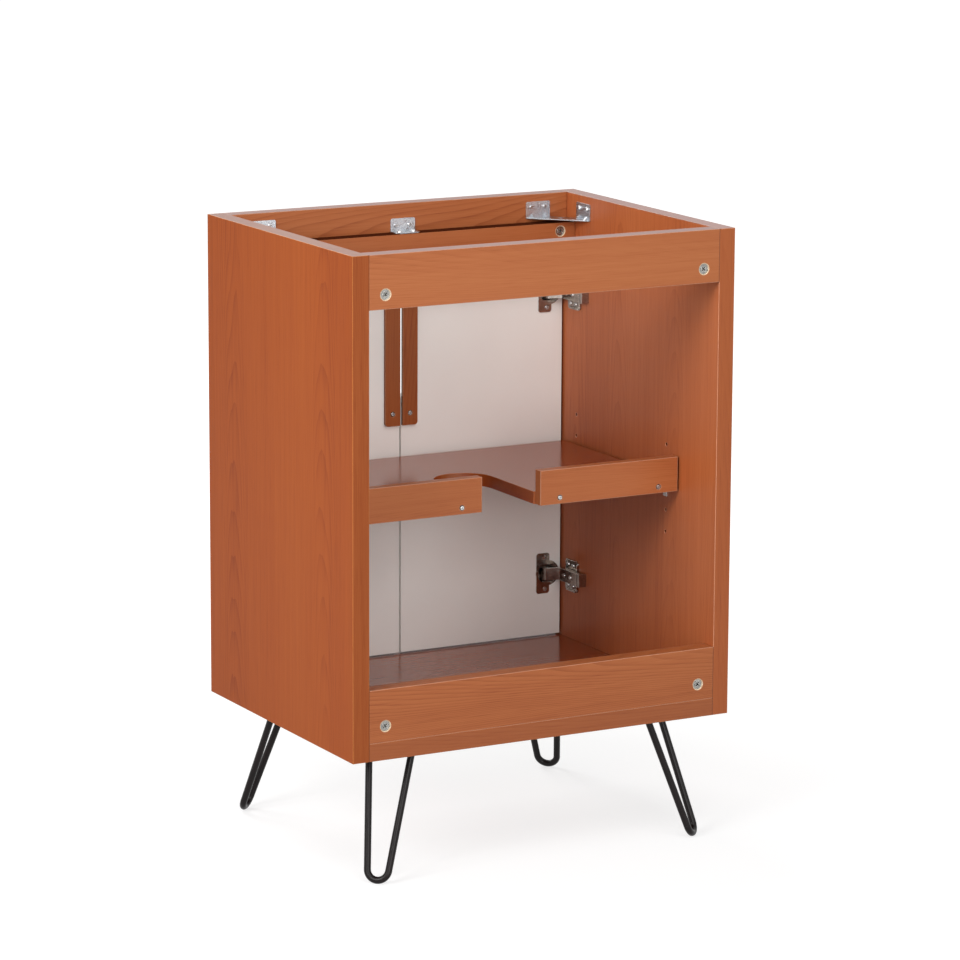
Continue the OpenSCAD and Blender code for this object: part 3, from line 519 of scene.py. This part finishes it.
# The stretcher's upper face is painted dark as shade in the groove by the fascia, and its arrises get no
# highlight.
STRETCHER = dict(RAIL, top=(0.2, 0.16, 0.18), top_shine=0.0, arris=0.0)
LEVEL_BOARD = dict(RAIL, tint_and_painted_light=(0.82, 0.73, 0.68), band_sheen_and_shade=(1.05, 1.35, 1.7), top_shine=0.6, rough=0.17,
                   relief=0.0, figure=0.2, calm=0.88)
STRIP = dict(RAIL, tint_and_painted_light=(0.8, 0.8, 0.8), figure=0.2)

# Every board has its own run of the pattern: node, grain, direction across the figure, seed, look
ACROSS_Y = (0.8, 1, 0)
ACROSS_Z = (0, 0.8, 1)
BOARDS = [
    ("right_side_panel", ALONG_Z, ACROSS_Y, 1.0, OUTER),
    ("left_side_panel", ALONG_Z, ACROSS_Y, 2.7, INNER),
    ("bottom_panel", ALONG_X, ACROSS_Z, 3.1, LEVEL_BOARD),
    ("back_top_rail", ALONG_X, ACROSS_Z, 4.6, RIM_RAIL),
    ("back_bottom_rail", ALONG_X, ACROSS_Z, 5.2, RAIL),
    ("front_fascia", ALONG_X, ACROSS_Z, 6.8, RIM_RAIL),
    ("front_stretcher", ALONG_X, ACROSS_Z, 7.3, STRETCHER),
    ("shelf_board", ALONG_X, ACROSS_Y, 8.4, LEVEL_BOARD),
    ("right_shelf_lip", ALONG_X, ACROSS_Z, 9.9, RAIL),
    ("left_shelf_lip", ALONG_X, ACROSS_Z, 10.3, RAIL),
    ("right_pull_strip", ALONG_Z, ACROSS_Y, 11.7, STRIP),
    ("left_pull_strip", ALONG_Z, ACROSS_Y, 12.2, STRIP),
]

# Platings: name, dull colour, bright colour, and the two ends of the roughness
ZINC = ("zinc_plate", (178, 178, 180), (226, 226, 226), (0.18, 0.34))
CAM_ZINC = ("cam_zinc", (120, 120, 117), (172, 170, 165), (0.2, 0.34))
NICKEL = ("dark_nickel", (134, 126, 120), (192, 183, 175), (0.14, 0.28))

# Names of the pieces that share a finish
SMALL_ZINC =["cam_bolts", "bracket_screws", "shelf_lip_screws", "shelf_supports", "leg_screws",
              "right_pull_screws", "left_pull_screws", "right_cup_screws", "left_cup_screws",
              "hinge_plate_screws", "hinge_arm_screws"]
HINGES = [f"{side}_{level}_hinge" for side in ("right", "left") for level in ("upper", "lower")]
CORNERS = [f"{end}_{side}" for end in ("front", "rear") for side in ("right", "left")]


def dress(names, made):
    """Gives CAD nodes a better material in place of their own."""
    for name in names:
        shown = nodes[name]
        for slot in shown.material_slots:
            slot.material = made
        if not shown.material_slots:
            shown.data.materials.append(made)


def dress_all():
    """Dresses the whole CAD model."""
    for name, grain, across, seed, look in BOARDS:
        dress([name], cherry("cherry_" + name, grain, across, seed, look))
    dress(["right_door", "left_door"], lacquer("door_lacquer"))
    dress(SMALL_ZINC, plated(*ZINC))
    dress(["cam_locks"], plated(*CAM_ZINC))
    dress([hinge + part for hinge in HINGES for part in ("_cup", "_pin", "_arm", "_plate")],
          plated(*NICKEL, scale=500, rounding=0.55 * MM))
    dress(["centre_angle_bracket"] + [corner + "_corner_bracket" for corner in CORNERS],
          galvanised("galvanised_sheet"))
    dress([corner + "_leg" for corner in CORNERS], powder_coat("black_coat"))
    dress(["dowels"], bare_wood("beech_dowel", ALONG_X))


WELD_DISTANCE = 0.001 * MM


def solids_of(name):
    """The lowest and highest corners of each separate solid in a CAD node."""
    form = bmesh.new()
    form.from_mesh(nodes[name].data)
    bmesh.ops.remove_doubles(form, verts=form.verts, dist=WELD_DISTANCE)
    left = set(form.verts)
    boxes = []
    for start in form.verts:
        if start not in left:
            continue
        left.remove(start)
        reached = [start]
        for vert in reached:
            near = {edge.other_vert(vert) for edge in vert.link_edges} & left
            left -= near
            reached += near
        sides = list(zip(*(vert.co for vert in reached)))
        boxes.append((Vector(map(min, sides)), Vector(map(max, sides))))
    form.free()
    return boxes


# Bare chipboard that shows round a cam lock: radius and depth below the board's face, in mm. The lock's own
# face lies deeper by the sink.
RIM = [(8.47, 0.02), (7.48, 1.01), (7.48, 1.48), (7.25, 1.48), (7.25, 0.85), (8.1, 0.02)]
RIM_STEPS = 64
CAM_SINK = 1.5


def make_rims():
    """One ring for every cam lock, facing back. The bottom board hides the rings of its own four locks."""
    out = Vector((0, 1, 0))
    side = Vector((1, 0, 0))
    other = out.cross(side)
    form = bmesh.new()
    for low, high in solids_of("cam_locks"):
        middle = (low + high) / 2
        reach = (high - low).y / 2 + CAM_SINK * MM
        rings = []
        for step in range(RIM_STEPS):
            angle = 2 * math.pi * step / RIM_STEPS
            away = math.cos(angle) * side + math.sin(angle) * other
            rings.append([form.verts.new(middle + out * (reach - depth * MM) + away * radius * MM)
                          for radius, depth in RIM])
        for here, there in zip(rings, rings[1:] + rings[:1]):
            for i, (a, b) in enumerate(zip(here, there)):
                form.faces.new((a, b, there[i - 1], here[i - 1]))
    bmesh.ops.recalc_face_normals(form, faces=form.faces)
    mesh = bpy.data.meshes.new("cam_bore_rims")
    form.to_mesh(mesh)
    form.free()
    rims = bpy.data.objects.new("cam_bore_rims", mesh)
    bpy.context.collection.objects.link(rims)
    mesh.materials.append(chipboard("chipboard"))
    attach(rims, "cabinet")


def make_camera():
    """The camera at the photograph's angle, with no shift."""
    side = math.cos(CAMERA_ELEVATION)
    back = Vector((math.sin(CAMERA_AZIMUTH) * side, -math.cos(CAMERA_AZIMUTH) * side,
                   math.sin(CAMERA_ELEVATION)))
    right = (-back).cross(Vector((0, 0, 1))).normalized()
    up = right.cross(-back)
    turned_right = math.cos(CAMERA_ROLL) * right + math.sin(CAMERA_ROLL) * up
    turned_up = math.cos(CAMERA_ROLL) * up - math.sin(CAMERA_ROLL) * right
    data = bpy.data.cameras.new("camera")
    data.lens = LENS_MM
    data.sensor_width = SENSOR_MM
    data.clip_start, data.clip_end = CAMERA_CLIP
    camera = bpy.data.objects.new("camera", data)
    bpy.context.collection.objects.link(camera)
    turn = Matrix((turned_right, turned_up, back)).transposed().to_4x4()
    camera.matrix_world = Matrix.Translation(CAMERA_TARGET + back * CAMERA_DISTANCE) @ turn
    bpy.context.scene.camera = camera


# Light: a weak all-round sky, softboxes beside the cabinet and beyond its open back, and a fill in front.
# Every lamp has a name, a place, the side of its square and its power in watts, and points at AIM.
WHITE = (1, 1, 1, 1)
SKY_COLOUR = (1, 0.985, 0.97, 1)
SKY_STRENGTH = 0.2
LAMPS = [
    ("side_box", (2.7, 1.1, 2.0), 1.3, 63),
    ("middle_box", (0.9, 5.0, 2.6), 2.4, 56),
    ("low_box", (1.6, 5.0, 0.9), 2.0, 54),
    ("far_box", (-1.8, 4.4, 1.8), 2.0, 25),
    ("top_box", (0.2, 2.2, 3.2), 1.6, 26),
    ("front_fill", (0.6, -4.2, 3.2), 2.4, 130),
]
AIM = Vector((0, 0, 0.5))

# Floor: a disc just under the feet. Light that bounces meets a plain grey. The camera sees a grey that
# takes the shadow, and over it a glow, which grows to full white from the middle of the floor outwards.
FLOOR_RADIUS = 14.0
FLOOR_SIDES = 96
FLOOR_SINK = 0.2 * MM
FLOOR_GREY = 0.42
FLOOR_GLOW = 0.74
SHADOW_REACH = (0.5, 1.6)
FLOOR_SHADOW = 0.34


def white_where_seen(tree):
    """1 for rays from the camera, a mirror or a clear surface, and 0 for light that bounces."""
    rays = [node(tree, "LightPath", {}, output=ray) for ray in
            ("Is Camera Ray", "Is Glossy Ray", "Is Transmission Ray")]
    return maths(tree, "MAXIMUM", maths(tree, "MAXIMUM", rays[0], rays[1]), rays[2])


def show_two(tree, hidden, seen, target="Material"):
    """Shows one shader to light that bounces and another one where the surface is seen."""
    show(tree, node(tree, "MixShader", {0: white_where_seen(tree), 1: hidden, 2: seen}), target)


def make_light():
    """The sky and the lamps."""
    world = bpy.data.worlds.new("studio")
    bpy.context.scene.world = world
    tree = emptied(world)
    sky = node(tree, "Background", {"Color": SKY_COLOUR, "Strength": SKY_STRENGTH})
    seen = node(tree, "Background", {"Color": WHITE, "Strength": 1.0})
    show_two(tree, sky, seen, "World")
    for name, spot, size, power in LAMPS:
        data = bpy.data.lights.new(name, "AREA")
        data.shape = "SQUARE"
        data.size = size
        data.energy = power
        lamp = bpy.data.objects.new(name, data)
        bpy.context.collection.objects.link(lamp)
        lamp.location = spot
        lamp.rotation_euler = (AIM - Vector(spot)).to_track_quat("-Z", "Y").to_euler()


def floor_material(name):
    """White as seen, with a faint shadow, and grey for light that bounces."""
    made = bpy.data.materials.new(name)
    tree = emptied(made)
    matt, faint = [node(tree, "BsdfDiffuse", {"Color": (grey, grey, grey, 1)})
                   for grey in (FLOOR_GREY, FLOOR_SHADOW)]
    where = node(tree, "TexCoord", {}, output="Object")
    away = node(tree, "VectorMath", {0: where}, output="Value", operation="LENGTH")
    glow = node(tree, "Emission", {"Color": WHITE,
                                   "Strength": between(tree, away, *SHADOW_REACH, low=FLOOR_GLOW)})
    show_two(tree, matt, node(tree, "AddShader", {0: faint, 1: glow}))
    return made


def make_floor():
    """A white floor that keeps a faint shadow under the legs."""
    mesh = bpy.data.meshes.new("studio_floor")
    form = bmesh.new()
    bmesh.ops.create_circle(form, cap_ends=True, segments=FLOOR_SIDES, radius=FLOOR_RADIUS)
    form.to_mesh(mesh)
    form.free()
    floor = bpy.data.objects.new("studio_floor", mesh)
    bpy.context.collection.objects.link(floor)
    floor.location = (0, 0, -FLOOR_SINK)
    mesh.materials.append(floor_material("studio_floor"))


dress_all()
make_rims()
make_camera()
make_light()
make_floor()
bpy.context.scene.view_settings.view_transform = "Standard"
